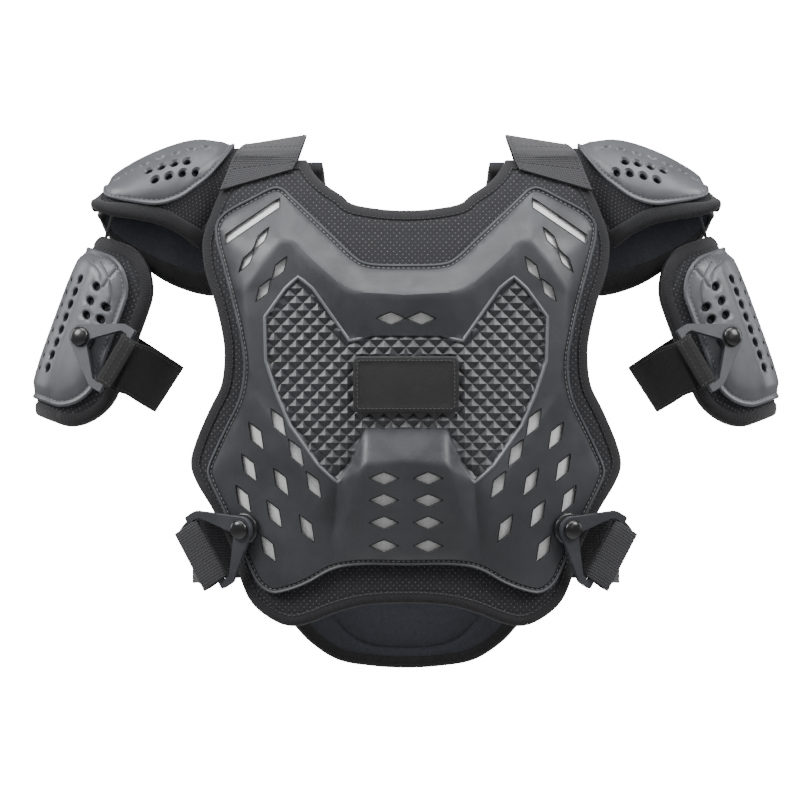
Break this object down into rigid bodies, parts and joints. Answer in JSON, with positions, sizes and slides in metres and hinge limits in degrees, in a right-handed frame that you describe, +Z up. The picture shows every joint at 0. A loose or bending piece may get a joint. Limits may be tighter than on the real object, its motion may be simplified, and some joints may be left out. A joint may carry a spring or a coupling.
{
  "type": "motorcycle chest protector",
  "caption": "Worn chest and back protector: moulded faceted plates on padded panels, shoulder wings, upper-arm guards and hook-buckled webbing.",
  "frame": {"origin": "middle of the neck, level with the top of the shoulders, where it sits on the wearer", "axes": "+Z up, the wearer faces -Y, +X to the wearer's left"},
  "size_m": [0.5838, 0.2437, 0.4199],
  "materials": {
    "plate_plastic": "satin moulded",
    "liner_fabric": "light grey lining",
    "pad_fabric": "perforated mesh and ribbed binding",
    "patch_rubber": "matt grained",
    "webbing": "ribbed woven tape",
    "buckle_plastic": "satin moulded"
  },
  "bodies": {
    "root": {"chest_pad": "pad_fabric", "back_pad": "pad_fabric", "chest_liner": "liner_fabric", "chest_plate": "plate_plastic", "back_plate": "plate_plastic", "chest_patch": "patch_rubber", "shoulder_pad_right": "pad_fabric", "shoulder_cap_right": "plate_plastic", "shoulder_strap_right": "webbing", "arm_pad_right": "pad_fabric", "arm_shell_right": "plate_plastic", "arm_strap_right": "webbing", "arm_hanger_right": "webbing", "arm_stud_right": "buckle_plastic", "arm_buckle_right": "buckle_plastic", "waist_stud_right": "buckle_plastic", "waist_buckle_right": "buckle_plastic", "waist_strap_right": "webbing", "shoulder_pad_left": "pad_fabric", "shoulder_cap_left": "plate_plastic", "shoulder_strap_left": "webbing", "arm_pad_left": "pad_fabric", "arm_shell_left": "plate_plastic", "arm_strap_left": "webbing", "arm_hanger_left": "webbing", "arm_stud_left": "buckle_plastic", "arm_buckle_left": "buckle_plastic", "waist_stud_left": "buckle_plastic", "waist_buckle_left": "buckle_plastic", "waist_strap_left": "webbing"}
  },
  "joints": []
}
